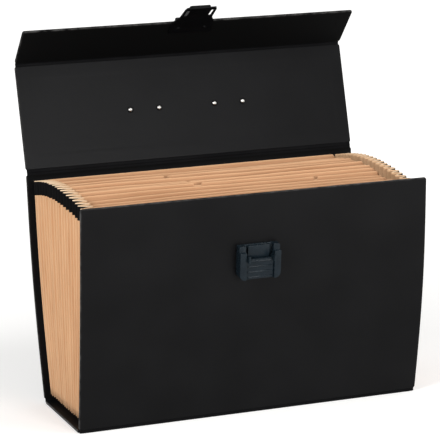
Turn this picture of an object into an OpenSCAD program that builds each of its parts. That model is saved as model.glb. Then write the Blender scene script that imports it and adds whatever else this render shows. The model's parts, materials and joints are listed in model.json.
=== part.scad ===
// Portable file box: an expanding carry file with a lid, a flap and a catch.
// The frame stands on z = 0 with x across the width, -y to the front and the base centred on the origin.

/* [Boards] */
// Width of every cover board
board_w = 380; // [300:1:420]
// Thickness of a wrapped board
board_t = 3; // [2:0.1:4]
// Front board, crease to top edge
front_h = 241.5; // [190:0.5:290]
// How much taller the back board is, crease to crease
back_extra = 5.7; // [5:0.1:9]
// Base, crease to crease
base_d = 123.8; // [90:0.2:150]
// How much shorter the lid is than the base is deep
lid_short = 6.6; // [5.5:0.1:8]
// Flap, crease to free edge
flap_l = 55.1; // [40:0.1:70]
// Corner radius of a board
board_r = 2.5; // [0.5:0.1:5]
// Gap between a crease bead and the board edges beside it
crease_gap = 0.4; // [0.3:0.05:1]

/* [Leans at rest] */
// Front board leans forward
front_lean = 7.45; // [0:0.05:12]
// Back board leans back
back_lean = 9.1; // [0:0.05:14]
// Lid leans back
lid_lean = 15; // [0:0.5:40]
// Flap leans forward from upright
flap_lean = 44.5; // [20:0.5:80]

/* [Bellows] */
// Pockets between the front and the back board
pockets = 19; // [8:1:21]
// Thickness of a pocket wall
wall_t = 0.6; // [0.4:0.05:1]
// Clear space between a board and the wall glued to it
wall_glue = 0.3; // [0.2:0.05:0.6]
// Front pocket wall ends this far below the front board's top edge
wall_front_drop = 3.3; // [2:0.1:12]
// Back pocket wall ends this far below the lid's crease
wall_back_drop = 6; // [5:0.1:14]
// Outer ridges of the side pleats, in from the board edges
ridge_inset = 6; // [2:0.5:14]
// Depth of a side pleat
pleat_depth = 14; // [8:0.5:20]
// Thickness of the pleated paper, across the width
pleat_t = 2; // [1:0.1:3]
// Height of the bottom pleats
bottom_pleat_h = 6; // [4:0.5:9]
// Clearance between the pleats and what they meet
pleat_clear = 0.4; // [0.3:0.05:1]
// Rise of the pleats' top edge in the middle of the fan
crown_h = 4; // [0:0.5:5]
// Dividers end this far below the pleats' top edge
divider_drop = 6; // [0:0.5:12]
// Height of the tape along the pleats' top
tape_h = 17.5; // [8:0.5:25]
// Thickness of the tape, across the width
tape_t = 0.8; // [0.4:0.1:1.2]

/* [Catch] */
// Middle of the catch and the tongue, across the width
lock_x = 0; // [-20:0.5:20]
// Top edge of the catch below the tongue's bend, when shut
catch_drop = 4.3; // [3:0.1:6]
// Width of the catch
catch_w = 45; // [40:0.5:60]
// Height of the catch
catch_h = 35.7; // [34:0.1:44]
// How far the catch stands out
catch_d = 12.5; // [11:0.1:13]
// Floor of the catch
catch_floor = 2.5; // [2:0.1:3]
// Radius of the catch's lower corners
catch_r = 6; // [2:0.5:7]
// Height of the lowered top of each rail
rail_step_h = 6.2; // [3:0.1:10]
// Depth of that step
rail_step_d = 4; // [1:0.1:6]
// Height of the thumb slide
slide_h = 21.5; // [16:0.5:23]
// How far the thumb slide moves
slide_travel = 5; // [4:0.1:5.5]
// Running clearance of the slide
slide_clear = 0.4; // [0.2:0.05:0.6]
// Ribs on the thumb slide
rib_count = 4; // [2:1:5]
// Width of a hook on the slide
hook_w = 2; // [1.4:0.1:2.2]
// How far a hook grips over the tongue
hook_grip = 2; // [1:0.1:2.4]
// Radius of the catch's rivets
catch_rivet_r = 1.5; // [1:0.1:2]
// Wire of the slide's spring
spring_wire = 0.7; // [0.5:0.1:1]
// Mean radius of the slide's spring
spring_r = 2.2; // [1.6:0.1:2.4]

/* [Tongue] */
// Width of the tongue's foot
tongue_w = 48; // [40:0.5:50]
// Length beyond the flap's edge
tongue_l = 36; // [30:0.5:36]
// Width of the blade
blade_w = 37; // [34:0.5:38]
// Width of the blade's end
blade_end_w = 33; // [16:0.5:35]
// Thickness of the tongue
tongue_t = 1.6; // [1.2:0.1:2]
// Length over which the tongue narrows from its foot to its blade
shoulder_h = 13; // [6:0.5:14]
// Bend between the foot and the blade
tongue_bend = 15; // [8:0.5:16]
// Length of the foot on the flap
foot_l = 16; // [12:0.5:20]
// Distance between the slots
slot_pitch = 28; // [26:0.2:29]
// Width of a slot
slot_w = 3.4; // [3.2:0.1:4.4]
// Length of a slot
slot_l = 16; // [10:0.5:17]
// Height of the boss on the blade
boss_h = 4; // [2:0.1:6]

/* [Handle] */
// Distance between the two brackets
handle_w = 98; // [84:0.5:130]
// Distance between the rivets of one bracket
rivet_pitch = 33.3; // [26:0.1:40]
// Pivot height above the lid
pivot_h = 7.8; // [7:0.1:12]
// Pivot to the middle of the grip
bail_l = 32; // [26:0.5:34]
// Width of the grip, along the bail
grip_w = 13; // [10:0.5:16]
// Thickness of the grip
grip_t = 9; // [7:0.5:10]
// Radius of the pivot pins
pin_r = 1.5; // [1.2:0.1:2]
// Running clearance of the bail on its pins
pin_clear = 0.08; // [0.03:0.01:0.1]
// Radius of the rivets through the lid
rivet_r = 1.5; // [1:0.1:2]
// Radius of the rivet heads
rivet_head_r = 2.3; // [2:0.1:3.4]

/* [Hidden] */
function divider_name(k) = str("divider_", k < 10 ? "0" : "", k);

$fn = 48;
crease_r = board_t / 2;
board_end = crease_r + crease_gap;
back_h = front_h + back_extra;
lid_l = base_d - lid_short;
hole_clear = 0.05;

// Fan of the pocket walls: t runs from 0 at the front wall to 1 at the back wall
wall_off = board_t / 2 + wall_glue + wall_t / 2;
fold_z = board_t + bottom_pleat_h + pleat_clear;
front_foot = (fold_z - crease_r - wall_off * sin(front_lean)) / cos(front_lean);
back_foot = (fold_z - crease_r - wall_off * sin(back_lean)) / cos(back_lean);
front_fan_y = -base_d / 2 + wall_off * cos(front_lean) - front_foot * sin(front_lean);
back_fan_y = base_d / 2 - wall_off * cos(back_lean) + back_foot * sin(back_lean);
function mix(a, b, t) = a + (b - a) * t;
function fan_y(t) = mix(front_fan_y, back_fan_y, t);
function fan_lean(t) = mix(-front_lean, back_lean, t);
wall_front_l = front_h - front_foot - wall_front_drop;
wall_back_l = back_h - back_foot - wall_back_drop;
function fan_length(t) = mix(wall_front_l, wall_back_l, t) + crown_h * sin(180 * t);
function fan_point(t, up) = [fan_y(t) + sin(fan_lean(t)) * up, fold_z + cos(fan_lean(t)) * up];

ridge_x = board_w / 2 - ridge_inset;
fold_x = ridge_x - pleat_depth;
tape_glue = 0.2;
divider_w = 2 * (fold_x - pleat_t - tape_glue - tape_t - pleat_clear);
divider_r = 1.5;
side_pleat_z = 0.5;
bottom_sheet_t = 0.8;
bottom_sheet_gap = 0.2;

// Tongue
bend_z = flap_l + 1;
tongue_off = (board_t + tongue_t) / 2;
tongue_rivet_x = 15;
tongue_rivet_z = 8;
foot_r = 0.5;
blade_taper = 0.8;
taper_end = 4;
slot_start = 15;
slot_r = 1;
boss_gap = 0.5;
boss_margin = 2.4;
boss_r = 2;
lip_w = 40;
lip_start = 0.6;
lip_h = 5;
lip_d = 4;

// Shut, the front and back boards lean inward, the lid is level and the blade lies along the front board
shut_lean = 1.2;
shut_fold = [lid_short - back_h * sin(shut_lean), back_h * cos(shut_lean)];
fold_out = shut_fold[1] * sin(shut_lean) - shut_fold[0] * cos(shut_lean);
fold_up = shut_fold[1] * cos(shut_lean) + shut_fold[0] * sin(shut_lean);
bend_out = fold_out + bend_z * sin(tongue_bend) - tongue_off * cos(tongue_bend);
bend_up = fold_up - bend_z * cos(tongue_bend) - tongue_off * sin(tongue_bend);

// Catch
catch_z = bend_up - catch_drop - catch_h;
catch_top_r = 1.5;
slide_w = slot_pitch + hook_w;
channel_w = slide_w + 2 * slide_clear;
rail_x = channel_w / 2;
slide_z = 0.4;
slide_top = slide_z + slide_h;
slide_face = catch_d - 2;
slide_back = catch_floor + slide_clear;
rib_h = 1;
rib_margin = 2.2;
rib_inset = 1.5;
flange_w = 1;
flange_t = 1.6;
catch_rivet_x = catch_w / 2 - 3.5;
catch_rivet_z = catch_h / 2;
catch_rivet_out = 6.5;
blind_end = 0.5;
backplate_t = 0.6;
backplate_h = 12;
backplate_r = 2;
backplate_inset = 0.5;
backplate_clear = 0.1;

// Raised floor of the catch above the slide, between the hooks
recess_out = 6;
recess_side = 1.2;
recess_top = 0.6;

// Hooks, through the tongue's slots when shut
slot_top = bend_up - slot_start - catch_z;
tongue_out = bend_out + tongue_t / 2 - board_t / 2;
hook_gap = 0.7;
hook_top = slot_top - hook_gap;
hook_out = tongue_out + 0.4;
hook_t = 1.9;
hook_stem_h = 4.5;
lip_root = 1;

// Spring of the slide, on a lug of the catch
spring_turns = 4;
spring_end = 0.3;
spring_lug_h = 2;
spring_lug_w = 2 * spring_r + 1.2;
spring_wall = 2;
pocket_w = 9;
pocket_d = 6;
pocket_top = slide_top - spring_wall;
spring_lug_z = pocket_top - slide_travel - spring_turns * spring_wire - 3 * spring_end - spring_lug_h;
pocket_low = spring_lug_z - slide_clear;

// Handle
handle_z = lid_l / 2;
pivot_y = board_t / 2 + pivot_h;
cheek_t = 2.5;
cheek_gap = 9.6;
cheek_clear = 0.4;
eye_w = cheek_gap - 2 * cheek_clear;
eye_r = 4.2;
arm_inset = 1;
bracket_t = 2.5;
bracket_w = rivet_pitch + 13;
bracket_h = 20;
bracket_r = 4;
pin_l = cheek_gap + 2 * cheek_t + 1;
pin_fit = 0.02;
washer_r = 3.3;
washer_t = 0.5;
head_h = 1.3;
head_drop = 1.6;
rivet_places = [for (side = [-1, 1], k = [-1, 1]) (side * handle_w + k * rivet_pitch) / 2];

module on_front() {
    translate([0, -base_d / 2, crease_r]) rotate([front_lean, 0, 0]) children();
}

module on_back() {
    translate([0, base_d / 2, crease_r]) rotate([-back_lean, 0, 0]) children();
}

module on_lid() {
    on_back() translate([0, 0, back_h]) rotate([back_lean - lid_lean, 0, 0]) children();
}

module on_flap() {
    on_lid() translate([0, 0, lid_l]) rotate([lid_lean + flap_lean, 0, 0]) children();
}

// Stands on the middle of the catch's lower edge, on the face of the front board
module on_catch() {
    on_front() translate([lock_x, -board_t / 2, catch_z]) children();
}

// Starts at the fold of the tongue, on the inner face of the flap
module on_blade() {
    on_flap() translate([lock_x, -tongue_off, bend_z]) rotate([tongue_bend, 0, 0]) children();
}

// Rectangle with round corners, r at the top and r_low at the bottom
module rounded_rect(w, low, high, r, r_low = 0) {
    q = max(r_low, r);
    translate([-w / 2, low + q]) square([w, high - low - q - r]);
    translate([-w / 2 + q, low]) square([w - 2 * q, high - low]);
    translate([-w / 2 + r, low + q]) square([w - 2 * r, high - low - q]);
    for (x = [-1, 1]) {
        translate([x * (w / 2 - q), low + q]) circle(q);
        translate([x * (w / 2 - r), high - r]) circle(r);
    }
}

// Plate in the x-z plane, its thickness centred on y = 0
module plate(t) {
    translate([0, t / 2, 0]) rotate([90, 0, 0]) linear_extrude(t) children();
}

module board(length, near, far) {
    plate(board_t) rounded_rect(board_w, near, length - far, board_r);
}

module crease() {
    rotate([0, 90, 0]) translate([0, 0, -board_w / 2]) cylinder(r = crease_r, h = board_w);
}

// Round rod along y from y0 to y1
module rod_y(r, y0, y1) {
    translate([0, y0, 0]) rotate([-90, 0, 0]) cylinder(r = r, h = y1 - y0);
}

module base_board() {
    color("#1b1b1c") translate([0, 0, crease_r]) rotate([-90, 0, 0])
        translate([0, 0, -base_d / 2 + board_end]) linear_extrude(base_d - 2 * board_end)
            square([board_w, board_t], center = true);
}

module front_board() {
    color("#171718") on_front() difference() {
        board(front_h, board_end, 0);
        for (x = [-1, 1]) translate([lock_x + x * catch_rivet_x, 0, catch_z + catch_rivet_z])
            rod_y(catch_rivet_r + hole_clear, -board_t, board_t);
        translate([lock_x - catch_w / 2, board_t / 2 - 2 * backplate_t - backplate_clear,
            catch_z + catch_rivet_z - backplate_h / 2 - 2 * backplate_inset])
            cube([catch_w, board_t, backplate_h + 4 * backplate_inset]);
    }
}

module back_board() {
    color("#1b1b1c") on_back() board(back_h, board_end, board_end);
}

module lid_board() {
    color("#2b2b2c") on_lid() difference() {
        board(lid_l, board_end, board_end);
        for (x = rivet_places) translate([x, 0, handle_z]) rod_y(rivet_r + hole_clear, -board_t, board_t);
    }
}

module flap_board() {
    color("#141415") on_flap() difference() {
        board(flap_l, board_end, 0);
        for (x = [-1, 1]) translate([lock_x + x * tongue_rivet_x, 0, flap_l - tongue_rivet_z])
            rod_y(rivet_r + hole_clear, -board_t, board_t);
    }
}

module base_front_crease() {
    color("#101011") on_front() crease();
}

module base_back_crease() {
    color("#101011") on_back() crease();
}

module lid_crease() {
    color("#101011") on_lid() crease();
}

module flap_crease() {
    color("#101011") on_flap() crease();
}

// One pocket wall of the fan, t along from front to back, ending drop below the pleats' top edge
module pocket_wall(t, drop = 0) {
    translate([0, fan_y(t), fold_z]) rotate([-fan_lean(t), 0, 0])
        plate(wall_t) rounded_rect(divider_w, 0, fan_length(t) - drop, divider_r);
}

module pocket_front_wall() {
    color("#c8976c") pocket_wall(0);
}

module pocket_back_wall() {
    color("#c8976c") pocket_wall(1);
}

module divider(k) {
    color("#d0a079") pocket_wall(k / pockets, divider_drop);
}

// Zigzag sheet along the right side of the fan: off moves it outward, a tape covers only the top
module side_sheet(off, thick, is_tape) {
    folds = 2 * pockets;
    function levels(t) = [if (!is_tape) side_pleat_z, fan_length(t) - tape_h, fan_length(t)];
    rows = is_tape ? 2 : 3;
    ring = 2 * rows;
    function corner(j, c) =
        let (t = j / folds,
             outer = c < rows,
             x = (j % 2 == 0 ? fold_x : ridge_x) + off - (outer ? 0 : thick),
             p = fan_point(t, levels(t)[outer ? c : ring - 1 - c]))
        [x, p[0], p[1]];
    points = [for (j = [0:folds], c = [0:ring - 1]) corner(j, c)];
    // Both faces of the sheet are split along the same diagonals
    walls = [for (j = [0:folds - 1], c = [0:ring - 1])
        let (a = ring * j + c, b = ring * j + (c + 1) % ring)
        each c < rows
            ? [[a, b, b + ring], [a, b + ring, a + ring]]
            : [[a, b, a + ring], [b, b + ring, a + ring]]];
    last = folds * ring;
    ends = [for (c = [1:ring - 2]) each [[0, c + 1, c], [last, last + c, last + c + 1]]];
    polyhedron(points = points, faces = concat(walls, ends));
}

module side_pleats_right() {
    color("#d9ac84") side_sheet(0, pleat_t, false);
}

module side_pleats_left() {
    color("#d9ac84") mirror([1, 0, 0]) side_sheet(0, pleat_t, false);
}

module edge_tape_right() {
    color("#0e0e0f") side_sheet(tape_t + tape_glue, tape_t, true);
}

module edge_tape_left() {
    color("#0e0e0f") mirror([1, 0, 0]) side_sheet(tape_t + tape_glue, tape_t, true);
}

module lining_tape_right() {
    color("#dcc8a8") side_sheet(-pleat_t - tape_glue, tape_t, true);
}

module lining_tape_left() {
    color("#dcc8a8") mirror([1, 0, 0]) side_sheet(-pleat_t - tape_glue, tape_t, true);
}

module bottom_pleats() {
    folds = 2 * pockets;
    high = fold_z - pleat_clear;
    low = board_t + bottom_sheet_gap + bottom_sheet_t;
    top = [for (j = [0:folds]) [fan_y(j / folds), j % 2 == 0 ? high : low]];
    under = [for (j = [folds:-1:0]) [top[j][0], top[j][1] - bottom_sheet_t]];
    color("#c8976c") rotate([90, 0, 90]) translate([0, 0, -divider_w / 2])
        linear_extrude(divider_w) polygon(concat(top, under));
}

module catch_outline() {
    rounded_rect(catch_w, 0, catch_h, catch_top_r, catch_r);
}

// Stretch of the catch from out0 to out1 above the front board
module catch_layer(out0, out1) {
    translate([0, -out0, 0]) rotate([90, 0, 0]) linear_extrude(out1 - out0) children();
}

// Outline of the two rails beside the slide
module catch_rails() {
    difference() {
        catch_outline();
        translate([-rail_x, -1]) square([channel_w, catch_h + 2]);
    }
}

module catch_housing() {
    recess_w = slide_w - 2 * hook_w - 2 * recess_side;
    groove_h = slide_top + slide_clear;
    groove_over = 2;
    color("#262f35") on_catch() difference() {
        union() {
            catch_layer(0, catch_floor) catch_outline();
            catch_layer(0, catch_d - rail_step_d) catch_rails();
            catch_layer(0, catch_d) difference() {
                catch_rails();
                translate([-catch_w, catch_h - rail_step_h]) square([2 * catch_w, catch_h]);
            }
            catch_layer(0, recess_out) translate([-recess_w / 2, slide_top + slide_clear])
                square([recess_w, catch_h - slide_top - slide_clear - recess_top]);
            catch_layer(0, slide_back + pocket_d - 1)
                translate([-spring_lug_w / 2, spring_lug_z]) square([spring_lug_w, spring_lug_h]);
        }
        for (side = [-1, 1]) catch_layer(catch_floor, slide_back + flange_t + slide_clear)
            translate([side * rail_x - flange_w - slide_clear, -groove_over])
                square([2 * flange_w + 2 * slide_clear, groove_h + groove_over]);
        for (x = [-1, 1]) translate([x * catch_rivet_x, 0, catch_rivet_z])
            rod_y(catch_rivet_r + hole_clear, -catch_rivet_out - blind_end, blind_end);
    }
}

module catch_slide() {
    rib_pitch = (slide_h - 2 * rib_margin) / (rib_count - 1);
    color("#2a343a") on_catch() difference() {
        union() {
            catch_layer(slide_back, slide_face) translate([-slide_w / 2, slide_z]) square([slide_w, slide_h]);
            catch_layer(slide_back, slide_back + flange_t)
                translate([-slide_w / 2 - flange_w, slide_z]) square([slide_w + 2 * flange_w, slide_h]);
            for (k = [0:rib_count - 1]) translate([0, -slide_face, slide_z + rib_margin + k * rib_pitch])
                rotate([0, 90, 0]) cylinder(r = rib_h, h = slide_w - 2 * rib_inset, center = true, $fn = 24);
            for (side = [-1, 1]) {
                x = side > 0 ? slide_w / 2 - hook_w : -slide_w / 2;
                catch_layer(slide_back, slide_face) translate([x, slide_z])
                    square([hook_w, hook_top - slide_z]);
                catch_layer(slide_back, hook_out + hook_t)
                    translate([x, hook_top - hook_stem_h]) square([hook_w, hook_stem_h]);
                catch_layer(hook_out, hook_out + hook_t) translate([x, hook_top - lip_root])
                    square([hook_w, lip_root + hook_gap + hook_grip]);
            }
        }
        catch_layer(slide_back - 1, slide_back + pocket_d)
            translate([-pocket_w / 2, pocket_low]) square([pocket_w, pocket_top - pocket_low]);
    }
}

// Coil along z from low to high, its ends closed
module coil(low, high) {
    turn_steps = 12;
    steps = spring_turns * turn_steps;
    sides = 6;
    wire_r = spring_wire / 2;
    function ring(i, j) =
        let (a = 360 * i / turn_steps, b = 360 * j / sides, q = spring_r + wire_r * cos(b))
        [q * cos(a), q * sin(a), mix(low + wire_r, high - wire_r, i / steps) + wire_r * sin(b)];
    points = [for (i = [0:steps], j = [0:sides - 1]) ring(i, j)];
    walls = [for (i = [0:steps - 1], j = [0:sides - 1])
        let (a = i * sides + j, b = i * sides + (j + 1) % sides)
        each [[a, b, b + sides], [a, b + sides, a + sides]]];
    caps = [[for (j = [sides - 1:-1:0]) j], [for (j = [0:sides - 1]) steps * sides + j]];
    polyhedron(points = points, faces = concat(walls, caps));
}

module catch_spring() {
    color("silver") on_catch() translate([0, -slide_back - pocket_d / 2, 0])
        coil(spring_lug_z + spring_lug_h + spring_end, pocket_top - spring_end);
}

module catch_rivets() {
    color("silver") on_catch() for (x = [-1, 1]) translate([x * catch_rivet_x, 0, catch_rivet_z]) {
        rod_y(catch_rivet_r, -catch_rivet_out, board_t - backplate_t);
        rod_y(2 * catch_rivet_r, board_t - backplate_t, board_t - backplate_clear);
    }
}

module catch_backplate() {
    color("silver") on_catch() translate([0, board_t - 1.5 * backplate_t, catch_rivet_z]) difference() {
        plate(backplate_t)
            rounded_rect(catch_w - 2 * backplate_inset, -backplate_h / 2, backplate_h / 2, backplate_r);
        for (x = [-1, 1]) translate([x * catch_rivet_x, 0, 0])
            rod_y(catch_rivet_r + hole_clear, -board_t, board_t);
    }
}

// Blade outline with z along the tongue: a foot that narrows to the blade, and a cut-off end
module blade_outline() {
    shoulder = [[tongue_w / 2, 0], [blade_w / 2, shoulder_h]];
    half = concat(shoulder, [[blade_w / 2 - blade_taper, tongue_l - taper_end], [blade_end_w / 2, tongue_l]]);
    difference() {
        polygon(concat(half, [for (k = [len(half) - 1:-1:0]) [-half[k][0], half[k][1]]]));
        for (side = [-1, 1]) translate([side * slot_pitch / 2, 0])
            rounded_rect(slot_w, slot_start, slot_start + slot_l, slot_r);
    }
}

module tongue() {
    boss_w = slot_pitch - slot_w - 2 * boss_gap;
    color("#141517") {
        on_flap() translate([lock_x, -tongue_off, 0]) difference() {
            plate(tongue_t) rounded_rect(tongue_w, flap_l - foot_l, bend_z, foot_r);
            for (side = [-1, 1]) translate([side * tongue_rivet_x, 0, flap_l - tongue_rivet_z])
                rod_y(rivet_r + hole_clear, -board_t, board_t);
        }
        on_blade() {
            plate(tongue_t) blade_outline();
            rotate([0, 90, 0]) cylinder(r = tongue_t / 2, h = tongue_w, center = true);
            translate([0, boss_h / 2, 0]) plate(boss_h)
                rounded_rect(boss_w, boss_margin, tongue_l - boss_margin, boss_r);
            // Lip that stiffens the bend, just clear of the flap's edge
            translate([0, lip_d / 2, 0]) plate(lip_d) rounded_rect(lip_w, lip_start, lip_h, foot_r);
        }
    }
}

// Rivet along y: shank from y0 to y1 with a low round head on each end
module rivet(y0, y1) {
    rod_y(rivet_r, y0, y1);
    for (side = [0, 1]) translate([0, side ? y1 : y0, 0]) rotate([side ? -90 : 90, 0, 0])
        rotate_extrude() intersection() {
            translate([0, -head_drop]) circle(head_drop + head_h);
            square([rivet_head_r, head_h]);
        }
}

module tongue_rivets() {
    color("#1d1e20") on_flap() for (side = [-1, 1])
        translate([lock_x + side * tongue_rivet_x, 0, flap_l - tongue_rivet_z])
            rivet(-board_t / 2 - tongue_t, board_t / 2);
}

module on_pivot() {
    on_lid() translate([0, pivot_y, handle_z]) children();
}

module handle_grip() {
    color("#1a1b1d") on_pivot() rotate([lid_lean, 0, 0]) difference() {
        union() {
            for (side = [-1, 1]) translate([side * handle_w / 2, 0, 0]) {
                rotate([0, 90, 0]) cylinder(r = eye_r, h = eye_w, center = true);
                translate([-eye_w / 2, -grip_t / 2 + arm_inset, -bail_l])
                    cube([eye_w, grip_t - 2 * arm_inset, bail_l]);
            }
            translate([0, 0, -bail_l]) plate(grip_t)
                rounded_rect(handle_w + eye_w, -grip_w / 2, grip_w / 2, grip_w / 2 - 1);
        }
        for (side = [-1, 1]) translate([side * handle_w / 2, 0, 0]) rotate([0, 90, 0])
            cylinder(r = pin_r + pin_clear, h = eye_w + 1, center = true);
    }
}

module handle_bracket(side) {
    color("#1a1b1d") on_lid() translate([side * handle_w / 2, board_t / 2, handle_z]) difference() {
        union() {
            translate([0, bracket_t / 2, 0]) plate(bracket_t)
                rounded_rect(bracket_w, -bracket_h / 2, bracket_h / 2, bracket_r);
            for (k = [-1, 1]) translate([k * (cheek_gap + cheek_t) / 2, 0, 0]) {
                translate([-cheek_t / 2, 0, -eye_r]) cube([cheek_t, pivot_h, 2 * eye_r]);
                translate([0, pivot_h, 0]) rotate([0, 90, 0]) cylinder(r = eye_r, h = cheek_t, center = true);
            }
        }
        translate([0, pivot_h, 0]) rotate([0, 90, 0])
            cylinder(r = pin_r + pin_fit, h = bracket_w, center = true);
        for (k = [-1, 1]) translate([k * rivet_pitch / 2, 0, 0])
            rod_y(rivet_r + hole_clear, -1, bracket_t + 1);
    }
}

module handle_bracket_left() {
    handle_bracket(-1);
}

module handle_bracket_right() {
    handle_bracket(1);
}

module handle_pins() {
    color("silver") on_pivot() for (side = [-1, 1]) translate([side * handle_w / 2, 0, 0])
        rotate([0, 90, 0]) cylinder(r = pin_r, h = pin_l, center = true);
}

module handle_rivets() {
    color("silver") on_lid() for (x = rivet_places) translate([x, 0, handle_z])
        rivet(-board_t / 2 - washer_t, board_t / 2 + bracket_t);
}

module rivet_washers() {
    color("#0c0c0d") on_lid() for (x = rivet_places) translate([x, 0, handle_z]) difference() {
        rod_y(washer_r, -board_t / 2 - washer_t, -board_t / 2);
        rod_y(rivet_r + hole_clear, -board_t, 0);
    }
}

base_board();
front_board();
back_board();
lid_board();
flap_board();
base_front_crease();
base_back_crease();
lid_crease();
flap_crease();
pocket_front_wall();
pocket_back_wall();
side_pleats_left();
side_pleats_right();
bottom_pleats();
edge_tape_left();
edge_tape_right();
lining_tape_left();
lining_tape_right();
catch_housing();
catch_slide();
catch_spring();
catch_rivets();
catch_backplate();
tongue();
tongue_rivets();
handle_grip();
handle_bracket_left();
handle_bracket_right();
handle_pins();
handle_rivets();
rivet_washers();
for (k = [1:pockets - 1])
    divider(k);
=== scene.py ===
import json
import math

import bmesh
import bpy
import numpy as np
from mathutils import Matrix, Vector


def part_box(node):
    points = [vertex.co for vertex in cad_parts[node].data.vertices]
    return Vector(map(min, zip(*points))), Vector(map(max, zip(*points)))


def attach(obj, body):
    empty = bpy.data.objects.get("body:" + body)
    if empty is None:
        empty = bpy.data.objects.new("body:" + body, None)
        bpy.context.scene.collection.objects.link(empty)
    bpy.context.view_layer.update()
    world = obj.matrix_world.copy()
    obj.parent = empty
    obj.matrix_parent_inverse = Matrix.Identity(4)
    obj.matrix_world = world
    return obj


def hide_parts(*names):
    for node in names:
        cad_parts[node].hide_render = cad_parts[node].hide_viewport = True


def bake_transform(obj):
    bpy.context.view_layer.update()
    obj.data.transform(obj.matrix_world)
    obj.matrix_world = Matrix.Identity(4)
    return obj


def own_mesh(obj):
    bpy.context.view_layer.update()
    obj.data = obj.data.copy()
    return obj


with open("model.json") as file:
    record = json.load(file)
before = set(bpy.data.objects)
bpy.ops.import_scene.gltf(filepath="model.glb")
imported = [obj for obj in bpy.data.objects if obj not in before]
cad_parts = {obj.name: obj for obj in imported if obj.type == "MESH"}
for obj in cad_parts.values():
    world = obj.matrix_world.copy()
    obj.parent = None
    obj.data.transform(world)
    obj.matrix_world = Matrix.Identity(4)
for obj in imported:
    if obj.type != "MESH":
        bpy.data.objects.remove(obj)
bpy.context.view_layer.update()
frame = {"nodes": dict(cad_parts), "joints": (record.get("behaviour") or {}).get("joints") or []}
mm = 0.001
jointAt = {joint["name"]: np.array(joint.get("pos_m") or (0, 0, 0)) for joint in frame["joints"]}
jointAxis = {joint["name"]: np.array(joint["axis"]) for joint in frame["joints"]}
print("frame loaded:", len(frame["nodes"]), "nodes")

# Camera and light

camera = {
    "azimuth": -20.536, "elevation": 11.798, "roll": -1.219,  # degrees
    "target": (0, -0.0034, 0.130), "distance": 2.3893,
    "right": -0.009215, "up": 0.06436,  # the view's middle beside the target
    "lens": 183.1, "sensor": 36,
}


def makeCamera():
    a, e, r = (math.radians(camera[k]) for k in ("azimuth", "elevation", "roll"))
    back = Vector((math.sin(a) * math.cos(e), -math.cos(a) * math.cos(e), math.sin(e)))
    level = Vector((math.cos(a), math.sin(a), 0))
    upright = back.cross(level)
    right = level * math.cos(r) + upright * math.sin(r)
    up = upright * math.cos(r) - level * math.sin(r)
    data = bpy.data.cameras.new("studioCamera")
    data.lens = camera["lens"]
    data.sensor_width = camera["sensor"]
    data.clip_start, data.clip_end = 0.05, 50
    obj = bpy.data.objects.new("studioCamera", data)
    place = Vector(camera["target"]) + back * camera["distance"]
    place += right * camera["right"] + up * camera["up"]
    turn = Matrix((right, up, back)).transposed().to_4x4()
    obj.matrix_world = Matrix.Translation(place) @ turn
    bpy.context.collection.objects.link(obj)
    bpy.context.scene.camera = obj


# Materials

def hexColor(text):
    # sRGB hex to linear
    values = [int(text[k:k + 2], 16) / 255 for k in (1, 3, 5)]
    return [v / 12.92 if v <= 0.04045 else ((v + 0.055) / 1.055) ** 2.4 for v in values] + [1]


def addNode(tree, kind, links=None, **settings):
    # adds one shader node; links maps a socket to a value or to another node's socket
    node = tree.nodes.new(kind)
    for key, value in settings.items():
        setattr(node, key, value)
    for key, value in (links or {}).items():
        if isinstance(value, bpy.types.NodeSocket):
            tree.links.new(value, node.inputs[key])
        else:
            node.inputs[key].default_value = value
    return node


def startMaterial(name, roughness, ior=1.5, metallic=0.0, gloss=0.5):
    made = bpy.data.materials.new(name)
    made.use_nodes = True
    tree = made.node_tree
    shader = tree.nodes["Principled BSDF"]
    shader.inputs["Roughness"].default_value = roughness
    shader.inputs["Metallic"].default_value = metallic
    if not metallic:
        shader.inputs["IOR"].default_value = ior
        shader.inputs["Specular IOR Level"].default_value = gloss
    return made, tree, shader


def stretched(tree, scale=(1, 1, 1)):
    # object coordinates, stretched along an axis
    place = addNode(tree, "ShaderNodeTexCoord")
    mapped = addNode(tree, "ShaderNodeMapping", {"Vector": place.outputs["Object"]})
    mapped.inputs["Scale"].default_value = scale
    return mapped.outputs["Vector"]


def noiseOf(tree, vector, size, detail=3.0, roughness=0.55):
    # soft noise whose lumps are about size metres across
    node = addNode(tree, "ShaderNodeTexNoise", {"Vector": vector, "Scale": 1 / size, "Detail": detail,
                                                "Roughness": roughness})
    return node.outputs["Fac"]


def spread(tree, value, low, high, outLow=0.0, outHigh=1.0):
    node = addNode(tree, "ShaderNodeMapRange", {"Value": value, "From Min": low, "From Max": high,
                                                "To Min": outLow, "To Max": outHigh})
    return node.outputs["Result"]


def mixColor(tree, share, first, second):
    node = addNode(tree, "ShaderNodeMix", {0: share}, data_type="RGBA")
    for socket, value in ((6, first), (7, second)):
        if isinstance(value, bpy.types.NodeSocket):
            tree.links.new(value, node.inputs[socket])
        else:
            node.inputs[socket].default_value = value
    return node.outputs[2]


def bumpFrom(tree, shader, layers):
    # layers of (height, depth in metres); the first lies lowest
    normal = None
    for height, depth in layers:
        links = {"Height": height, "Distance": depth, "Strength": 1.0}
        if normal:
            links["Normal"] = normal
        normal = addNode(tree, "ShaderNodeBump", links).outputs["Normal"]
    tree.links.new(normal, shader.inputs["Normal"])


def edgeOf(tree):
    # 1 at a wrapped board's edge, at a paper sheet's top rim and bare top edge, and up to 0.35 at the pleats'
    # ridges, where it paints a highlight; 0 away from them
    return addNode(tree, "ShaderNodeAttribute", attribute_name="edge").outputs["Fac"]


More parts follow.
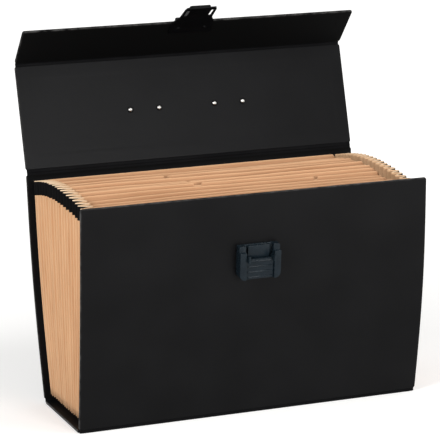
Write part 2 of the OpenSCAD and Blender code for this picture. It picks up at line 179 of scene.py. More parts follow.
def coverPaper():
    # Book cover paper, embossed with a fine leather grain and varnished: satin, a little scuffed at the edges
    made, tree, shader = startMaterial("coverPaper", 0.36, 1.48, gloss=0.07)
    vector = stretched(tree)
    grain = addNode(tree, "ShaderNodeTexVoronoi", {"Vector": vector, "Scale": 1 / 0.0011, "Randomness": 1.0},
                    feature="SMOOTH_F1")  # the real grain is 0.6 mm across, drawn at 1.1 mm so that it shows
    cloud = noiseOf(tree, vector, 0.07, 2)
    tone = mixColor(tree, spread(tree, cloud, 0.3, 0.7), hexColor("#0c0c0d"), hexColor("#101011"))
    worn = spread(tree, noiseOf(tree, vector, 0.006, 3), 0.35, 0.75, 0.0, 1.0)
    wear = addNode(tree, "ShaderNodeMath", {0: edgeOf(tree), 1: worn}, operation="MULTIPLY").outputs[0]
    # where this mask is 1 the paper is made rougher and painted near black (#030303) as painted shade
    mattAndShade = addNode(tree, "ShaderNodeAttribute", attribute_name="mattAndShade").outputs["Fac"]
    tone = mixColor(tree, mattAndShade, tone, hexColor("#030303"))
    tree.links.new(mixColor(tree, wear, tone, hexColor("#474645")), shader.inputs["Base Color"])
    gloss = spread(tree, cloud, 0.3, 0.7, 0.34, 0.39)
    rough = addNode(tree, "ShaderNodeMath", {0: mattAndShade, 1: 0.42, 2: gloss}, operation="MULTIPLY_ADD")
    tree.links.new(rough.outputs[0], shader.inputs["Roughness"])
    lumps = noiseOf(tree, vector, 0.012, 2)
    bumpFrom(tree, shader, [(lumps, 0.00012), (grain.outputs["Distance"], 0.00005)])
    return made


def bookCloth():
    # Rayon book cloth on the creases: matt black with a plain weave
    made, tree, shader = startMaterial("bookCloth", 0.62, 1.45, gloss=0.03)
    vector = stretched(tree)
    weave = [addNode(tree, "ShaderNodeTexWave", {"Vector": vector, "Scale": 1 / 0.006, "Distortion": 0.3,
                                                 "Detail": 1.0}, bands_direction=way).outputs["Fac"]
             for way in ("X", "Z")]  # threads about 0.95 mm apart, twice the real spacing so that they show
    both = addNode(tree, "ShaderNodeMath", {0: weave[0], 1: weave[1]}, operation="MULTIPLY").outputs[0]
    cloud = spread(tree, noiseOf(tree, vector, 0.03), 0.3, 0.7)
    tone = mixColor(tree, cloud, hexColor("#0a0a0b"), hexColor("#101011"))
    tree.links.new(tone, shader.inputs["Base Color"])
    bumpFrom(tree, shader, [(both, 0.00006)])
    return made


def kraftPaper(name, light, dark, along, edgeTone):
    # Machine-glazed kraft paper: long brown fibres, matt, a little cloudy
    made, tree, shader = startMaterial(name, 0.82, 1.45, gloss=0.3)
    fibres = noiseOf(tree, stretched(tree, along), 0.0016, 4, 0.65)  # fibres about 1 mm wide, 12 mm long
    cloud = noiseOf(tree, stretched(tree, (0.4, 4, 0.6)), 0.045, 3)  # tells one sheet from the next
    specks = spread(tree, noiseOf(tree, stretched(tree), 0.0022, 2), 0.68, 0.78)
    tone = mixColor(tree, spread(tree, cloud, 0.3, 0.7), hexColor(dark), hexColor(light))
    tone = mixColor(tree, spread(tree, fibres, 0.3, 0.75, 0.0, 0.35), tone, hexColor(dark))
    tone = mixColor(tree, spread(tree, specks, 0, 1, 0.0, 0.45), tone, hexColor("#96683F"))
    # lighter at the top rims and bare edges, and at the pleats' ridges as a painted highlight
    tone = mixColor(tree, edgeOf(tree), tone, hexColor(edgeTone))
    tree.links.new(tone, shader.inputs["Base Color"])
    bumpFrom(tree, shader, [(fibres, 0.00008)])
    return made


def clothTape(name, light, dark, roughness):
    # Gummed cloth tape over the pleats' edge: close weave, matt
    made, tree, shader = startMaterial(name, roughness, 1.45, gloss=0.08)
    vector = stretched(tree)
    weave = noiseOf(tree, stretched(tree, (1, 1, 0.3)), 0.0012, 2)
    cloud = spread(tree, noiseOf(tree, vector, 0.02), 0.3, 0.7)
    tone = mixColor(tree, cloud, hexColor(dark), hexColor(light))
    # lighter at the bare top edge, and at the pleats' ridges as a painted highlight
    tone = mixColor(tree, edgeOf(tree), tone, hexColor(light))
    tree.links.new(tone, shader.inputs["Base Color"])
    bumpFrom(tree, shader, [(weave, 0.00006)])
    return made


def mouldedPlastic(name, light, dark, roughness, grit, gloss):
    # Moulded plastic, spark-eroded: an even fine grit with a soft gloss
    made, tree, shader = startMaterial(name, roughness, 1.5, gloss=gloss)
    vector = stretched(tree)
    cloud = spread(tree, noiseOf(tree, vector, 0.012), 0.3, 0.7)
    tone = mixColor(tree, cloud, hexColor(dark), hexColor(light))
    tree.links.new(tone, shader.inputs["Base Color"])
    tree.links.new(spread(tree, noiseOf(tree, vector, 0.005), 0.3, 0.7, roughness - 0.04, roughness + 0.06),
                   shader.inputs["Roughness"])
    bumpFrom(tree, shader, [(noiseOf(tree, vector, grit, 2), 0.00003)])
    return made


def plainMetal(name, tone, roughness, scratch):
    # Plated metal: a clean reflection with faint drawn scratches
    made, tree, shader = startMaterial(name, roughness, metallic=1.0)
    marks = noiseOf(tree, stretched(tree, (1, 1, 6)), scratch, 3)
    tree.links.new(mixColor(tree, spread(tree, marks, 0.35, 0.7), hexColor(tone), hexColor("#8f8e8b")),
                   shader.inputs["Base Color"])
    rough = spread(tree, marks, 0.3, 0.7, roughness - 0.04, roughness + 0.08)
    tree.links.new(rough, shader.inputs["Roughness"])
    return made


finish = {
    "cover": coverPaper(),
    "cloth": bookCloth(),
    "kraft": kraftPaper("kraftPaper", "#CC9D76", "#BA8A64", (1, 1, 12), "#D3A983"),
    "pleat": kraftPaper("kraftPleats", "#E0B286", "#CF9B6F", (12, 12, 1), "#DCC1A2"),
    "tape": clothTape("blackClothTape", "#0c0c0d", "#070708", 0.7),
    "lining": clothTape("creamPaperTape", "#C9A582", "#B28D6A", 0.8),
    "catch": mouldedPlastic("slateAbs", "#141d23", "#10181e", 0.26, 0.0007, 0.13),
    "plastic": mouldedPlastic("blackPolypropylene", "#080809", "#060607", 0.4, 0.0007, 0.05),
    "nickel": plainMetal("nickelPlate", "#E4E2DC", 0.28, 0.0012),
    "steel": plainMetal("zincPlate", "#B9BBBD", 0.3, 0.0012),
    # the rivet washers are near black so that they also stand for the shadow round each rivet head: painted
    # shade
    "lacquerAndShade": mouldedPlastic("blackLacquerAndShade", "#040404", "#020202", 0.5, 0.0007, 0.02),
}
print("materials made:", len(finish))


# Surfaces

def addPiece(name, points, faces, look, body, replaced, edge=None, smooth=True):
    # puts a worked-out surface into a mesh that rides on its body
    mesh = bpy.data.meshes.new(name)
    mesh.from_pydata(np.asarray(points, float).tolist(), [], faces)
    mesh.validate()
    if edge is not None:
        layer = mesh.attributes.new("edge", "FLOAT", "POINT")
        layer.data.foreach_set("value", np.asarray(edge, np.float32).ravel())
    if smooth:
        mesh.shade_smooth()
    mesh.materials.append(finish[look])
    obj = bpy.data.objects.new(name, mesh)
    bpy.context.collection.objects.link(obj)
    if isinstance(body, str):
        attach(obj, body)
    if replaced:
        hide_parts(*replaced)
    return obj


def loopFaces(count, sides, closeEnds=True):
    # quads between closed loops of sides points each, with one face on each end
    i, j = np.meshgrid(np.arange(count - 1), np.arange(sides), indexing="ij")
    a, b = i * sides + j, i * sides + (j + 1) % sides
    quads = np.stack([a, b, b + sides, a + sides], -1).reshape(-1, 4).tolist()
    if closeEnds:
        quads.append(list(range(sides))[::-1])
        quads.append(list(range((count - 1) * sides, count * sides)))
    return quads


def orient(obj):
    # turns every face outward
    work = bmesh.new()
    work.from_mesh(obj.data)
    bmesh.ops.recalc_face_normals(work, faces=work.faces)
    work.to_mesh(obj.data)
    work.free()


def localFrame(origin, lean, outward=1):
    # board axes: across, along from the crease, and outward, for a board leaning back by lean degrees
    s, c = math.sin(math.radians(lean)), math.cos(math.radians(lean))
    return np.array(origin), np.array([(1, 0, 0), (0, s, c), (0, outward * c, -outward * s)])


def place(local, origin, axes):
    return origin + local @ axes


def leanOf(low, high):
    return math.degrees(math.atan2(high[1] - low[1], high[2] - low[2]))


board = {"width": 380 * mm, "thick": 3 * mm, "edgeRadius": 0.9 * mm, "cornerRadius": 2.5 * mm,
         "creaseGap": 2.6 * mm, "turnIn": 15 * mm, "turnInStep": 0.05 * mm,
         "covered": 2 * mm, "perCorner": 10, "perSide": (40, 24), "flatRings": 12, "wave": 0.12 * mm,
         "mattShadeStrip": 14 * mm}
frontAt, backAt = jointAt["front_spread"], jointAt["back_spread"]
lidAt, flapAt = jointAt["lid_hinge"], jointAt["flap_hinge"]
frontUp = jointAxis["thumb_slide_travel"]
lean = {"front": math.degrees(math.atan2(frontUp[1], frontUp[2])), "back": leanOf(backAt, lidAt),
        "lid": leanOf(lidAt, flapAt), "flap": -44.5}
length = {"front": 241.5 * mm, "back": np.linalg.norm(lidAt - backAt), "lid": np.linalg.norm(flapAt - lidAt),
          "flap": 55.1 * mm, "base": backAt[1] - frontAt[1]}
frames = {"front": localFrame(frontAt, lean["front"], -1), "back": localFrame(backAt, lean["back"]),
          "lid": localFrame(lidAt, lean["lid"]), "flap": localFrame(flapAt, lean["flap"]),
          "base": (frontAt, np.array([(1, 0, 0), (0, 1, 0), (0, 0, -1)]))}
print("leans", {k: round(v, 2) for k, v in lean.items()})


def outline(width, low, high, radius, inset):
    # rounded rectangle pulled in by inset: an arc round each corner, then points along the side to the next
    r = max(radius - inset, 0.05 * mm)
    x, z0, z1 = width / 2 - inset, low + inset, high - inset
    arcs = []
    corners = ((x - r, z1 - r, 0), (-x + r, z1 - r, 90), (-x + r, z0 + r, 180), (x - r, z0 + r, 270))
    for cx, cz, start in corners:
        angle = np.radians(start + np.linspace(0, 90, board["perCorner"]))
        arcs.append(np.stack([cx + r * np.cos(angle), cz + r * np.sin(angle)], -1))
    full = []
    for k, arc in enumerate(arcs):
        t = np.linspace(0, 1, board["perSide"][k % 2] + 1)[1:-1, None]
        full += [arc, arc[-1] * (1 - t) + arcs[(k + 1) % 4][0] * t]
    return np.concatenate(full)


def slabRings(width, low, high, radius, levels):
    # concentric outlines, one for each (inset, height): across, along, outward, and the inset of each point
    rings = []
    for inset, height in levels:
        ring = outline(width, low, high, radius, inset)
        rings.append(np.column_stack([ring, np.full(len(ring), height), np.full(len(ring), inset)]))
    return np.array(rings)


def roundedLevels(thick, radius, reach, steps, corner=6, extra=()):
    # (inset, height) from the outer face's middle to its edge, a quarter round, and back along the inner face
    t = thick / 2
    angle = np.radians(np.linspace(0, 90, corner))
    flat = np.linspace(2 * radius, reach, steps)
    bend = np.column_stack([radius * (1 - np.sin(angle)), t - radius + radius * np.cos(angle)])
    outer = np.column_stack([flat[::-1], np.full(steps, t)])
    inner = np.sort(np.concatenate([flat, extra]))
    inner = np.column_stack([inner, np.full(len(inner), -t)])
    return np.concatenate([outer, bend, bend[::-1] * (1, -1), inner])


bow = {"front": (2 * mm, 6.5 * mm), "back": (7.5 * mm, 6 * mm)}  # how far the left and right edges bulge


def bowOf(name, x):
    # the pleats press the boards' side edges outward; nothing at the middle, where the catch sits
    left, right = bow.get(name, (0, 0))
    return np.where(x < 0, left, right) * (2 * x / board["width"]) ** 2


def closeFlat(first):
    # the middle strip of a flat face, between the innermost outline's upper and lower edges, and a face
    # at each end that takes in the corners, so that none of them is without area
    n, perSide = board["perCorner"], board["perSide"]
    across, upright = 2 * n + perSide[0] - 1, perSide[1] - 1
    top = first + np.arange(across)
    left = first + across + np.arange(upright)
    bottom = first + across + upright + np.arange(across)
    right = first + 2 * across + upright + np.arange(upright)
    over, under = top[n:-n], bottom[::-1][n:-n]
    strip = np.stack([over[:-1], over[1:], under[1:], under[:-1]], -1).tolist()
    return strip + [[*top[-n - 1:], *left, *bottom[:n + 1]], [*bottom[-n - 1:], *right, *top[:n + 1]]]


def makeBoard(name, low, high, seed):
    # chipboard wrapped in paper, whose turn-in stands a little proud of the lining on the inner face
    origin, axes = frames[name]
    step, width = board["turnInStep"], board["turnIn"]
    reach = (high - low) / 2 - 0.4 * mm
    levels = roundedLevels(board["thick"], board["edgeRadius"], reach, board["flatRings"],
                           extra=(width - 0.3 * mm, width + 0.3 * mm))
    levels[(levels[:, 1] < -board["thick"] / 2 + 1e-7) & (levels[:, 0] > width), 1] += step
    rings = slabRings(board["width"], low, high, board["cornerRadius"], levels)
    x, z, inset = rings[..., 0], rings[..., 1], rings[..., 3]
    # a hand-glued board is never quite flat: long shallow waves, only ever inward
    wave = 0.5 + 0.25 * np.sin(x * 31 + seed) + 0.25 * np.sin(z * 43 + x * 11 + 2 * seed)
    rings[..., 2] -= np.sign(rings[..., 2]) * board["wave"] * wave
    rings[..., 2] += bowOf(name, x) * np.sin(np.pi * z / length[name])
    points = place(rings[..., :3].reshape(-1, 3), origin, axes)
    node = name + "_board"
    faces = loopFaces(len(rings), rings.shape[1], closeEnds=False)
    faces += closeFlat(0) + closeFlat((len(rings) - 1) * rings.shape[1])
    faces = [[int(k) for k in face] for face in faces]
    # an edge beside a crease is covered by its cloth, so it does not wear
    folded = name in ("base", "back", "lid")
    covered = (z < low + board["covered"]) | ((z > high - board["covered"]) & folded)
    obj = addPiece(node + "Wrapped", points, faces, "cover", name, [node],
                   np.exp(-((inset / (0.8 * mm)) ** 2)) * ~covered)
    # the strip along the back board's top beside the joint cloth, and the flap's lining, are made matt and
    # painted near black as painted shade
    areas = {"back": z > length["back"] - board["mattShadeStrip"], "flap": z > 1 * mm}
    mattAndShade = areas.get(name, z < -1) & (rings[..., 2] < 0)
    layer = obj.data.attributes.new("mattAndShade", "FLOAT", "POINT")
    layer.data.foreach_set("value", mattAndShade.astype(np.float32).ravel())
    orient(obj)
    even = obj.modifiers.new("even shading", "WEIGHTED_NORMAL")
    even.mode, even.weight = "FACE_AREA", 50
    return obj


gap = board["creaseGap"]
makeBoard("base", gap, length["base"] - gap, 0.3)
makeBoard("front", gap, length["front"], 1.1)
makeBoard("back", gap, length["back"] - gap, 2.0)
makeBoard("lid", gap, length["lid"] - gap, 2.9)
makeBoard("flap", gap, length["flap"], 4.0)
print("boards wrapped")


# Creases

crease = {"reach": 5 * mm, "beadRadius": 1.42 * mm, "clothHalf": 1.0 * mm, "end": 1.2 * mm}


def makeCrease(name, at, ways):
    # a bead of cloth on the fold line with a flat wing into each board; ways holds each board's along and
    # outward directions
    (alongA, outA), (alongB, outB) = ways
    r, h = crease["beadRadius"], crease["clothHalf"]
    u = np.linspace(-1, 1, 41)  # from one board's end over the fold to the other's
    s = crease["reach"] * np.abs(u) ** 1.3
    half = h + (r - h) * np.exp(-((s / (1.1 * mm)) ** 2))
    turn = np.clip(u / 0.22, -1, 1)[:, None]
    share = (turn + 1) / 2
    # between the wings the outward direction turns evenly from one board's to the other's
    angle = math.acos(np.clip(outA @ outB, -1, 1))
    out = (np.sin((1 - share) * angle) * outA + np.sin(share * angle) * outB) / max(math.sin(angle), 1e-6)
    base = np.where(u[:, None] < 0, alongA, alongB) * np.maximum(s - 0.5 * mm, 0)[:, None]
    loop = np.concatenate([base + out * half[:, None], (base - out * half[:, None])[::-1]])
    x = np.linspace(-board["width"] / 2 + crease["end"], board["width"] / 2 - crease["end"], 60)
    rings = np.repeat(loop[None], len(x), 0)
    shrink = 1 - 0.5 * np.exp(-((board["width"] / 2 - np.abs(x)) / (1.2 * mm)))
    rings = rings * shrink[:, None, None] + at
    rings[..., 0] = x[:, None]
    obj = addPiece(name + "Cloth", rings.reshape(-1, 3), loopFaces(len(x), len(loop)), "cloth", None, [name])
    orient(obj)
    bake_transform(obj)
    return obj


def way(name, sign=1):
    axes = frames[name][1]
    return axes[1] * sign, axes[2]


makeCrease("base_front_crease", frontAt, (way("base"), way("front")))
makeCrease("base_back_crease", backAt, (way("base", -1), way("back")))
makeCrease("lid_crease", lidAt, (way("back", -1), way("lid")))
makeCrease("flap_crease", flapAt, (way("lid", -1), way("flap")))
print("creases pressed")


# Bellows

bellows = {"pockets": 19, "depth": 14 * mm, "ridge": 184 * mm, "sheet": 0.5 * mm, "tapeSheet": 0.3 * mm,
           "tape": 15.5 * mm, "creamEdge": 0.9 * mm, "crown": 6.5 * mm, "drop": 6 * mm,
           "wallThick": 0.5 * mm, "drift": (0.10, 0.14, 0.5 * mm),  # of a fold's place, slant and ridge
           "frontPinch": (0, 4.5 * mm), "roundness": 0.994, "split": 18, "nearMiddle": (-4 * mm, 1 * mm),
           "frontEnd": -91 * mm, "backEnd": 98 * mm, "sink": (1.5 * mm, 3.5 * mm)}
pocketAt = {j["name"]: np.array(j["pos_m"]) for j in frame["joints"] if j["name"].startswith("divider_")}
firstY, foldZ = pocketAt["divider_01_spread"][1:]
pitch = (pocketAt["divider_18_spread"][1] - firstY) / (bellows["pockets"] - 2)
wallLength = [(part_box(f"pocket_{side}_wall")[1].z - foldZ) / math.cos(math.radians(lean[side]))
              for side in ("front", "back")]


def fanLean(t):
    return lean["front"] + (lean["back"] - lean["front"]) * t


def fan(t, up):
    # a point of the fan: t from 0 at the front wall to 1 at the back wall, up along the wall from its fold
    angle = np.radians(fanLean(t))
    y = firstY - pitch + pitch * bellows["pockets"] * t
    return y + np.sin(angle) * up, foldZ + np.cos(angle) * up


def fanLength(t):
    # the top edge sinks a little at both boards and is highest behind the middle
    front, back = wallLength[0] - bellows["sink"][0], wallLength[1] - bellows["sink"][1]
    return front + (back - front) * t + bellows["crown"] * np.sin(np.pi * np.clip(t, 0, 1) ** 1.25)


def fanBow(x, t, share):
    # how far the boards' bulge carries the paper along y, on top of fan()
    swell = np.sin(np.pi * np.clip(share, 0, 1))
    return (bowOf("back", x) * t - bowOf("front", x) * (1 - t)) * swell


def makeZigzag(name, side, half, shift, thick, levels, look, seed):
    # folded paper: s counts half pleats from the front; even folds meet the dividers, odd ones are ridges
    # levels gives each row's height as a share of the fan's length less a drop from its top edge
    rng = np.random.default_rng(seed)
    folds, split = 2 * bellows["pockets"], bellows["split"]
    first, last = (0, split) if half == "Front" else (split, folds)
    s = np.linspace(first, last, (last - first) * 10 + 1)
    steps = np.arange(folds + 1)
    drift = [np.interp(s, steps, rng.uniform(-a, a, folds + 1) * (steps % 2)) for a in bellows["drift"]]
    share, drop = np.array(levels).T
    # a triangle wave with rounded tips, one at a ridge and nought at an inner fold
    k = bellows["roundness"]
    fold = (0.5 + np.arcsin(k * np.sin(np.pi * (s - 0.5))) / (2 * math.asin(k)))[:, None]
    t = (s[:, None] + drift[0][:, None] + drift[1][:, None] * (share - 0.5)) / folds
    bow = 0.06 * np.sin(np.pi * (s % 1))[:, None] * np.sin(np.pi * share)
    t = np.clip(t + bow / folds, first / folds, last / folds)
    up = fanLength(t) * share - drop
    y, z = fan(t, up)
    pinch = bellows["frontPinch"][side > 0] * (1 - t) * share ** 2
    x = bellows["ridge"] - pinch * fold - bellows["depth"] * (1 - fold) + shift + drift[2][:, None] * fold
    y = y + fanBow(side * x, t, up / fanLength(t))
    outer = np.stack([x, y, z], -1)
    rings = np.concatenate([outer, outer[:, ::-1] - (thick, 0, 0)], 1)
    rings[..., 0] *= side
    bare = fanLength(t) - up < bellows["creamEdge"] - 1e-6
    # the ridge tips are painted lighter as a painted highlight; the bare paper above the tape shows its real
    # cream edge
    ridgeHighlightAndBareEdge = np.maximum(0.35 * fold ** 10 * np.ones_like(share), bare)
    ridgeHighlightAndBareEdge = np.concatenate([ridgeHighlightAndBareEdge, ridgeHighlightAndBareEdge[:, ::-1]], 1)
    faces = loopFaces(len(s), 2 * len(share))
    obj = addPiece(name, rings.reshape(-1, 3), faces, look, None, None, ridgeHighlightAndBareEdge)
    orient(obj)
    if half == "Front":
        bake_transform(obj)
    else:
        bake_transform(obj)
    return obj


def makeSides():
    edge, low = bellows["creamEdge"], bellows["tape"]
    lowest = 0.5 * mm / wallLength[1]
    pleatRows = [(v, 0) for v in np.linspace(lowest, 0.985, 26)]
    pleatRows += [(1, edge), (1, 0.97 * edge), (1, edge / 2), (1, 0)]
    tapeRows = [(1, d) for d in np.linspace(low, edge, 8)]
    liningRows = [(1, d) for d in np.linspace(low, 0, 8)]
    sheet, tape = bellows["sheet"], bellows["tapeSheet"]
    layers = (("side_pleats", "pleat", 0, sheet, pleatRows, "kraft_paper"),
              ("edge_tape", "tape", tape + 0.1 * mm, tape, tapeRows, "edge_tape"),
              ("lining_tape", "lining", -sheet - 0.1 * mm, tape, liningRows, "lining_tape"))
    for sideName, side, seed in (("left", -1, 11), ("right", 1, 47)):
        for node, look, shift, thick, rows, slotName in layers:
            for half in ("Front", "Rear"):
                name = f"{node}_{sideName}{half}"
                obj = makeZigzag(name, side, half, shift, thick, rows, look, seed)
                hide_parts(f"{node}_{sideName}")


makeSides()
print("side pleats folded")

divider = {"half": 168.6 * mm, "corner": 3 * mm, "wave": 1.5 * mm, "uneven": 2.4 * mm, "sway": 3.4 * mm,
           "swayStep": 2 * mm, "seed": 200, "columns": 141}
# nicks worn into the sheets' tops: place across, width and depth
notches = {15: (-48.5 * mm, 5 * mm, 9 * mm), 14: (-50.5 * mm, 5 * mm, 9 * mm),
           13: (-52.5 * mm, 5 * mm, 9 * mm), 12: (-54.5 * mm, 5 * mm, 6 * mm),
           10: (-39 * mm, 3.5 * mm, 4 * mm), 8: (-35 * mm, 9 * mm, 2.5 * mm), 7: (96 * mm, 4 * mm, 3 * mm)}


def drawSways():
    # how far each sheet's top leans from its place, no further from the last one's than clears it when shut
    sways = [0.0]
    for k in range(1, bellows["pockets"]):
        own = (2 * np.random.default_rng(divider["seed"] + k).random(7)[6] - 1) * divider["sway"]
        step = divider["swayStep"] if k > 1 else divider["sway"]
        sways.append(float(np.clip(own, sways[-1] - step, sways[-1] + step)))
    return sways


def makeWall(node, t, body, seed, drop=0.0, sway=0.0, notch=None):
    # a pocket wall: x runs across and v up the sheet, which waves more towards its free top edge
    rng = np.random.default_rng(seed)
    phase = rng.uniform(0, 2 * math.pi, 5)
    loose = 1.0 if drop else 0.08
    high = fanLength(t) - drop + rng.uniform(-1, 1) * divider["uneven"] * loose
    half, corner, h = divider["half"], divider["corner"], bellows["wallThick"] / 2
    even = np.linspace(-half, half, divider["columns"])
    x = even
    v = np.concatenate([np.linspace(0, 0.93, 12), [0.95, 0.965, 0.98, 0.99, 0.997, 1.0]])
    top = high - corner * (1 - np.sqrt(1 - np.clip((np.abs(x) - half + corner) / corner, 0, 0.999) ** 2))
    if notch:
        at, width, depth = notch
        x = np.sort(np.concatenate([even, at + np.array([-0.55, -0.45, 0.45, 0.55]) * width]))
        top = np.interp(x, even, top)
        top = top - depth * np.clip((0.55 * width - np.abs(x - at)) / (0.1 * width), 0, 1)
    x, v = np.meshgrid(x, v, indexing="ij")
    u = x / half
    up = v * top[:, None] + 0.8 * mm * loose * np.sin(2.4 * u + phase[3]) * v ** 4
    wave = 0.5 * np.sin(2.2 * u + phase[0]) + 0.3 * np.sin(5.1 * u + phase[1] + v)
    wave += 0.2 * np.sin(10 * u + phase[2]) + 0.25 * np.sin(17 * u + phase[4]) * v ** 6
    out = divider["wave"] * loose * wave * v ** 1.5 * (1 - np.abs(u) ** 8)
    out += sway * v ** 3 * (1 - u ** 4) + fanBow(x, t, v)
    side = h * np.sqrt(np.clip(1 - ((v - 0.997) / 0.003).clip(0, 1) ** 2, 0.02, 1))
    loop = np.concatenate([np.stack([x, up, out + side], -1), np.stack([x, up, out - side], -1)[:, ::-1]], 1)
    y0, z0 = fan(np.array(t), 0)
    points = place(loop.reshape(-1, 3), *localFrame((0, y0, z0), fanLean(t)))
    rim = np.clip((v - 0.9955) / 0.0045, 0, 1)
    obj = addPiece(node + "Paper", points, loopFaces(*loop.shape[:2]), "kraft", body, [node],
                   np.concatenate([rim, rim[:, ::-1]], 1))
    orient(obj)
    return obj


makeWall("pocket_front_wall", 0, "front", divider["seed"])
makeWall("pocket_back_wall", 1, "back", divider["seed"] + bellows["pockets"])
for k, sway in enumerate(drawSways()[1:], 1):
    makeWall(f"divider_{k:02d}", k / bellows["pockets"], f"divider_{k:02d}_sheet", divider["seed"] + k,
             bellows["drop"], sway, notches.get(k))
print("dividers cut")


bottom = {"thick": 0.5 * mm, "trim": 0.95 * mm, "sag": 0.25 * mm, "columns": 40}


def makeBottom():
    # the sheet on which the pockets fold out: the same rounded wave as the side pleats, carried across the
    # box; its ends stop short of the boards, which lean in over it when the file is shut
    low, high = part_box("bottom_pleats")
    s = np.linspace(0, 2 * bellows["pockets"], 20 * bellows["pockets"] + 1)
    k, thick, trim = bellows["roundness"], bottom["thick"], bottom["trim"]
    fold = 0.5 + np.arcsin(k * np.sin(np.pi * (s + 0.5))) / (2 * math.asin(k))
    y = firstY - pitch + trim + (pitch - 2 * trim / bellows["pockets"]) * s / 2
    z = low.z + thick + (high.z - low.z - thick) * fold
    x = np.linspace(low.x, high.x, bottom["columns"])[:, None]
    sag = bottom["sag"] * np.sin(9 * x / high.x + 1.7 * s) * (1 - fold)
    upper = np.stack(np.broadcast_arrays(x, y, z + sag.clip(0)), -1)
    rings = np.concatenate([upper, upper[:, ::-1] - (0, 0, thick)], 1)
    obj = addPiece("bottomPaper", rings.reshape(-1, 3), loopFaces(len(x), rings.shape[1]), "kraft", "base",
                   ["bottom_pleats"], np.zeros(rings.shape[:2]))
    orient(obj)


makeBottom()
print("bottom pleats folded")


# Moulded and metal pieces

def soften(node, look, body, width, segments=3):
    # the node's own shape with its sharp edges rounded, as a mould or a die leaves them
    source = frame["nodes"][node]
    work = bmesh.new()
    work.from_mesh(source.data)
    bmesh.ops.remove_doubles(work, verts=work.verts, dist=0.002 * mm)
    bmesh.ops.dissolve_limit(work, angle_limit=math.radians(2), verts=work.verts, edges=work.edges)
    mesh = bpy.data.meshes.new(node + "Moulded")
    work.to_mesh(mesh)
    work.free()
    mesh.materials.clear()
    mesh.materials.append(finish[look])
    obj = bpy.data.objects.new(node + "Moulded", mesh)
    bpy.context.collection.objects.link(obj)
    bevel = obj.modifiers.new("soft edges", "BEVEL")
    bevel.width, bevel.segments, bevel.limit_method = width, segments, "ANGLE"
    bevel.angle_limit = math.radians(40)
    bevel.harden_normals = True
    mesh.shade_smooth()
    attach(obj, body)
    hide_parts(node)
    return obj


soften("catch_housing", "catch", "front", 0.5 * mm)
soften("catch_slide", "catch", "thumb_slide", 0.3 * mm)
soften("tongue", "plastic", "flap", 0.3 * mm)
soften("handle_grip", "plastic", "handle", 1.2 * mm, 4)
soften("handle_bracket_left", "plastic", "lid", 0.4 * mm)
soften("handle_bracket_right", "plastic", "lid", 0.4 * mm)


def refinish(node, look):
    obj = frame["nodes"][node]
    for k in range(len(obj.material_slots)):
        obj.material_slots[k].material = finish[look]
    if not obj.material_slots:
        obj.data.materials.append(finish[look])


for node, look in (("tongue_rivets", "plastic"), ("handle_rivets", "nickel"), ("rivet_washers", "lacquerAndShade"),
                   ("handle_pins", "steel"), ("catch_rivets", "steel"), ("catch_backplate", "steel")):
    refinish(node, look)

spring = {"turns": 4, "wireRadius": 0.35 * mm, "travel": 5 * mm, "stepsPerTurn": 24, "sides": 10}


def makeSpring():
    # round wire on a helix: u runs along the wire and b round its section; the pitch eases off at both ends
    origin, axes = frames["front"]
    spots = (np.array([v.co for v in frame["nodes"]["catch_spring"].data.vertices]) - origin) @ axes.T
    low, high = spots.min(0), spots.max(0)
    across, _, out = (low + high) / 2
    wire = spring["wireRadius"]
    radius = (high[0] - low[0]) / 2 - wire
    u = np.linspace(0, 1, spring["turns"] * spring["stepsPerTurn"] + 1)[:, None]
    b = np.linspace(0, 2 * math.pi, spring["sides"] + 1)[:-1]
    angle = 2 * math.pi * spring["turns"] * u
    rise = (high[1] - low[1] - 2 * wire) * (3 * u ** 2 - 2 * u ** 3)
    reach = radius + wire * np.cos(b)
    local = np.stack([across + reach * np.cos(angle), low[1] + wire + rise + wire * np.sin(b),
                      out + reach * np.sin(angle)], -1)
    points = place(local.reshape(-1, 3), origin, axes)
    faces = loopFaces(len(u), len(b))
    obj = addPiece("catch_springWound", points, faces, "steel", "front", ["catch_spring"])
    orient(obj)
    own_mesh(obj)


makeSpring()
print("catch, tongue and handle finished")


# Floor and light

def seenDirectly(tree):
    # 1 for rays from the camera and for what glossy or clear surfaces show
    path = addNode(tree, "ShaderNodeLightPath")
    kinds = {0: path.outputs["Is Camera Ray"], 1: path.outputs["Is Glossy Ray"]}
    first = addNode(tree, "ShaderNodeMath", kinds, operation="MAXIMUM")
    return addNode(tree, "ShaderNodeMath", {0: first.outputs[0], 1: path.outputs["Is Transmission Ray"]},
                   operation="MAXIMUM").outputs[0]


studio = {"floorRadius": 6.0, "floorTone": "#E9E8E6", "liftNear": 0.32, "liftFar": 0.72, "ambient": 0.5}


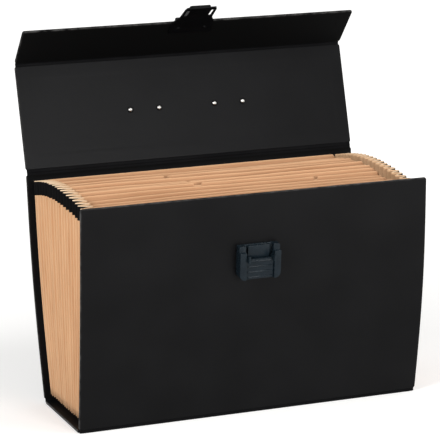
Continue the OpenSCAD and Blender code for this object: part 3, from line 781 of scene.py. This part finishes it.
def makeFloor():
    made, tree, shader = startMaterial("paperSweep", 0.9, gloss=0.0)
    shader.inputs["Base Color"].default_value = hexColor(studio["floorTone"])
    place = addNode(tree, "ShaderNodeTexCoord")
    away = addNode(tree, "ShaderNodeVectorMath", {0: place.outputs["Object"]}, operation="LENGTH")
    away = away.outputs["Value"]
    lift = spread(tree, away, 0.35, 1.3, studio["liftNear"], studio["liftFar"])  # the sweep fades to white
    glow = addNode(tree, "ShaderNodeEmission", {"Color": (1, 1, 1, 1), "Strength": lift})
    lifted = addNode(tree, "ShaderNodeAddShader", {0: shader.outputs[0], 1: glow.outputs[0]})
    both = {0: seenDirectly(tree), 1: shader.outputs[0], 2: lifted.outputs[0]}
    pick = addNode(tree, "ShaderNodeMixShader", both)
    tree.links.new(pick.outputs[0], tree.nodes["Material Output"].inputs["Surface"])
    angle = np.linspace(0, 2 * math.pi, 97)[:-1]
    points = np.column_stack([np.cos(angle), np.sin(angle), 0 * angle]) * studio["floorRadius"]
    mesh = bpy.data.meshes.new("studioFloor")
    mesh.from_pydata(points.tolist(), [], [list(range(96))])
    mesh.materials.append(made)
    obj = bpy.data.objects.new("studioFloor", mesh)
    bpy.context.collection.objects.link(obj)


def makeLight(name, at, target, size, power):
    data = bpy.data.lights.new(name, "AREA")
    data.shape, data.size, data.energy = "DISK", size, power
    obj = bpy.data.objects.new(name, data)
    away = Vector(at) - Vector(target)
    obj.matrix_world = Matrix.Translation(at) @ away.to_track_quat("Z", "Y").to_matrix().to_4x4()
    bpy.context.collection.objects.link(obj)


def makeWorld():
    world = bpy.data.worlds.new("studio")
    bpy.context.scene.world = world
    world.use_nodes = True
    tree = world.node_tree
    background = tree.nodes["Background"]
    background.inputs["Color"].default_value = (1, 1, 1, 1)
    strength = spread(tree, seenDirectly(tree), 0, 1, studio["ambient"], 1.0)
    tree.links.new(strength, background.inputs["Strength"])


lights = {  # place, aimed at, diameter, watts
    "sideBox": ((-1.65, -1.05, 1.15), (0, 0, 0.15), 0.7, 24),
    "lidBox": ((0.34, -2.05, 0.56), (0, 0.1, 0.28), 0.7, 24),
    "topBox": ((0.7, -0.9, 2.0), (0, 0, 0.2), 0.8, 12.5),
}
makeCamera()
makeFloor()
makeWorld()
for name, setting in lights.items():
    makeLight(name, *setting)
bpy.context.scene.view_settings.view_transform = "Standard"
print("studio set")
